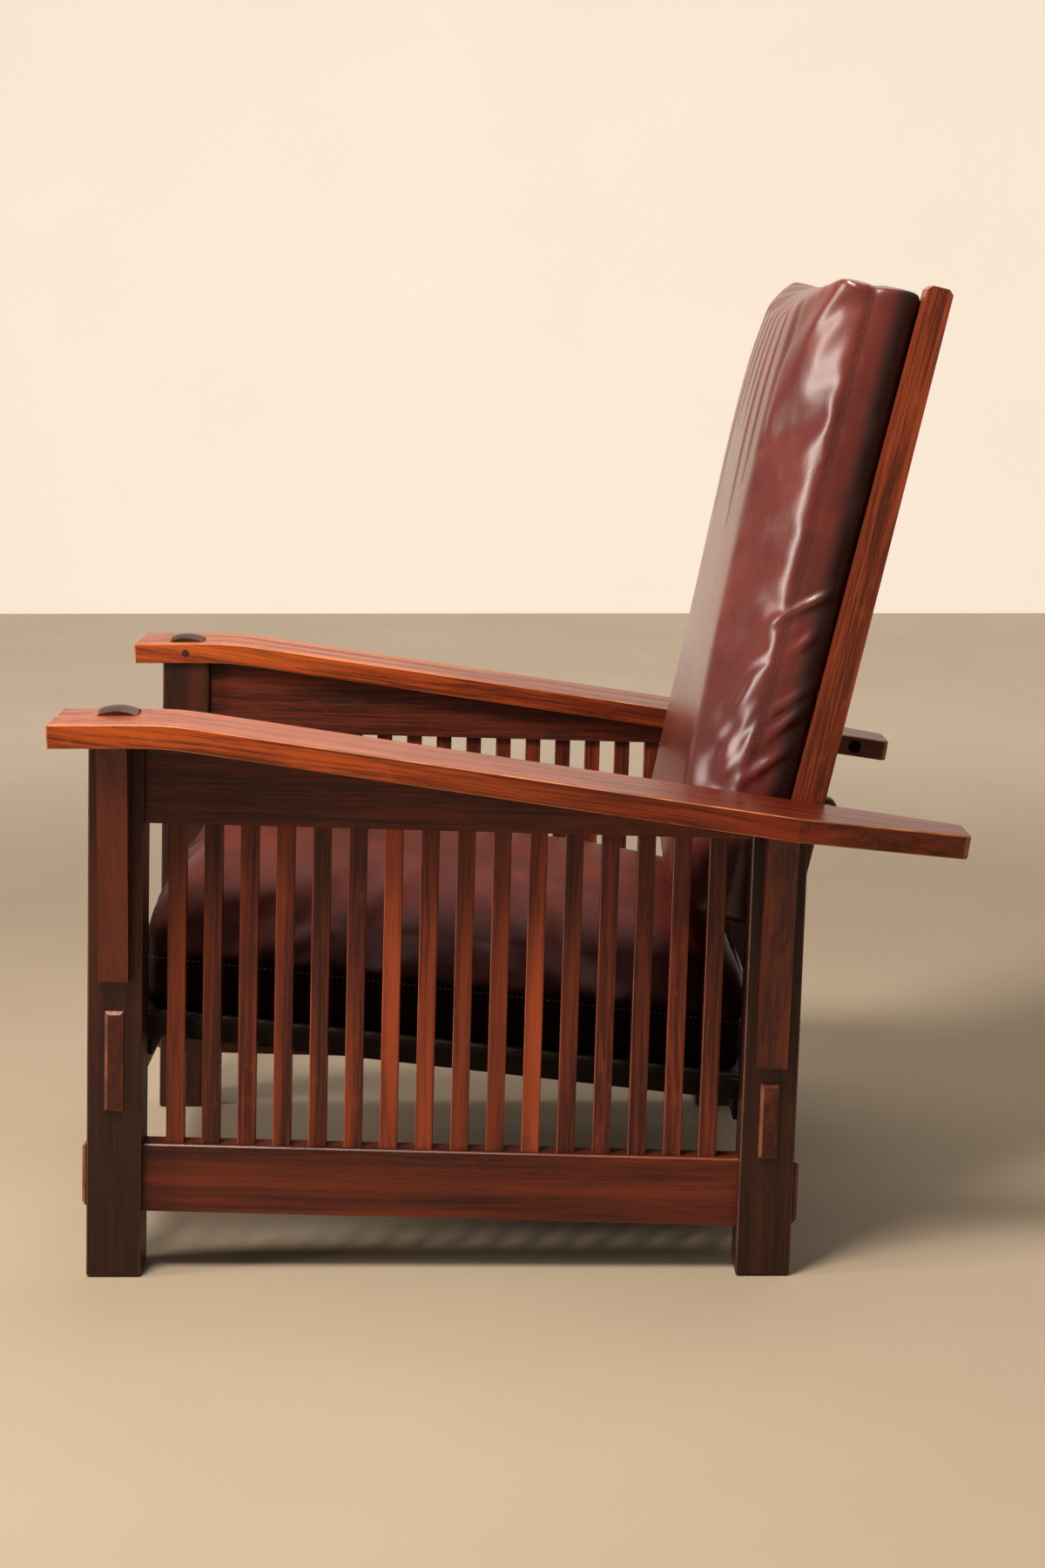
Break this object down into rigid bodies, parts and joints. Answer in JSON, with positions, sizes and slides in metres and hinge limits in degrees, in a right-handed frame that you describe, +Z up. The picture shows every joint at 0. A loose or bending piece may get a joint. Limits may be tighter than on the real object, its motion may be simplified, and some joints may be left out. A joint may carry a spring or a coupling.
{
  "type": "reclining armchair",
  "caption": "Oak reclining armchair with slatted sides, sloping arms, an adjustable back held by pegs in the arms, and loose leather cushions.",
  "frame": {"origin": "on the floor, midway between the arms and midway along them", "axes": "+Z up, -Y the way the sitter faces, +X the sitter's left"},
  "size_m": [0.851, 0.9587, 1.0631],
  "materials": {
    "oak_posts": "dark fumed oak, satin",
    "oak_rails": "reddish brown oak, satin",
    "oak_spindles": "reddish brown oak, satin",
    "oak_arms": "worn orange brown oak, satin",
    "oak_back": "reddish brown oak, satin",
    "oak_pegs": "dark turned oak",
    "seat_frame_wood": "plain unfinished wood",
    "oxblood_leather": "glossy oxblood leather",
    "jute_webbing": "woven straps",
    "steel_pins": "plain steel rod"
  },
  "bodies": {
    "frame": {"front_seat_rail": "oak_rails", "rear_seat_rail": "oak_rails", "front_seat_cleat": "seat_frame_wood", "rear_seat_cleat": "seat_frame_wood", "seat_frame_front": "seat_frame_wood", "seat_frame_rear": "seat_frame_wood", "seat_webbing": "jute_webbing", "seat_cushion": "oxblood_leather", "left_front_post": "oak_posts", "right_front_post": "oak_posts", "left_rear_post": "oak_posts", "right_rear_post": "oak_posts", "left_side_rail": "oak_rails", "right_side_rail": "oak_rails", "left_arm_apron": "oak_rails", "right_arm_apron": "oak_rails", "left_spindles": "oak_spindles", "right_spindles": "oak_spindles", "left_arm": "oak_arms", "right_arm": "oak_arms", "left_front_corbel": "oak_posts", "right_front_corbel": "oak_posts", "left_rear_corbel": "oak_posts", "right_rear_corbel": "oak_posts", "left_tenon_pin": "oak_pegs", "right_tenon_pin": "oak_pegs", "left_pivot_pin": "steel_pins", "right_pivot_pin": "steel_pins", "left_pivot_plug": "oak_pegs", "right_pivot_plug": "oak_pegs", "left_pivot_spacer": "oak_pegs", "right_pivot_spacer": "oak_pegs", "left_seat_frame_side": "seat_frame_wood", "right_seat_frame_side": "seat_frame_wood"},
    "back": {"back_cushion": "oxblood_leather", "back_slat_1": "oak_back", "back_slat_2": "oak_back", "back_slat_3": "oak_back", "back_slat_4": "oak_back", "back_slat_5": "oak_back", "left_back_stile": "oak_back", "right_back_stile": "oak_back"},
    "left_peg": {"left_support_peg": "oak_pegs"},
    "right_peg": {"right_support_peg": "oak_pegs"}
  },
  "joints": [
    {"name": "back_recline", "type": "hinge", "parent": "frame", "child": "back", "pos_m": [0, 0.27621, 0.37095], "axis": [-1, 0, 0], "range_deg": [0, 33.8]},
    {"name": "left_peg_shift", "type": "slide", "parent": "frame", "child": "left_peg", "axis": [0, 0.9888, -0.1495], "range_m": [0, 0.099]},
    {"name": "right_peg_shift", "type": "slide", "parent": "frame", "child": "right_peg", "axis": [0, 0.9888, -0.1495], "range_m": [0, 0.099]}
  ],
  "couplings": [
    {"joint": "left_peg_shift", "follows": "back_recline", "m_per_rad": 0.16773},
    {"joint": "right_peg_shift", "follows": "back_recline", "m_per_rad": 0.16773}
  ]
}
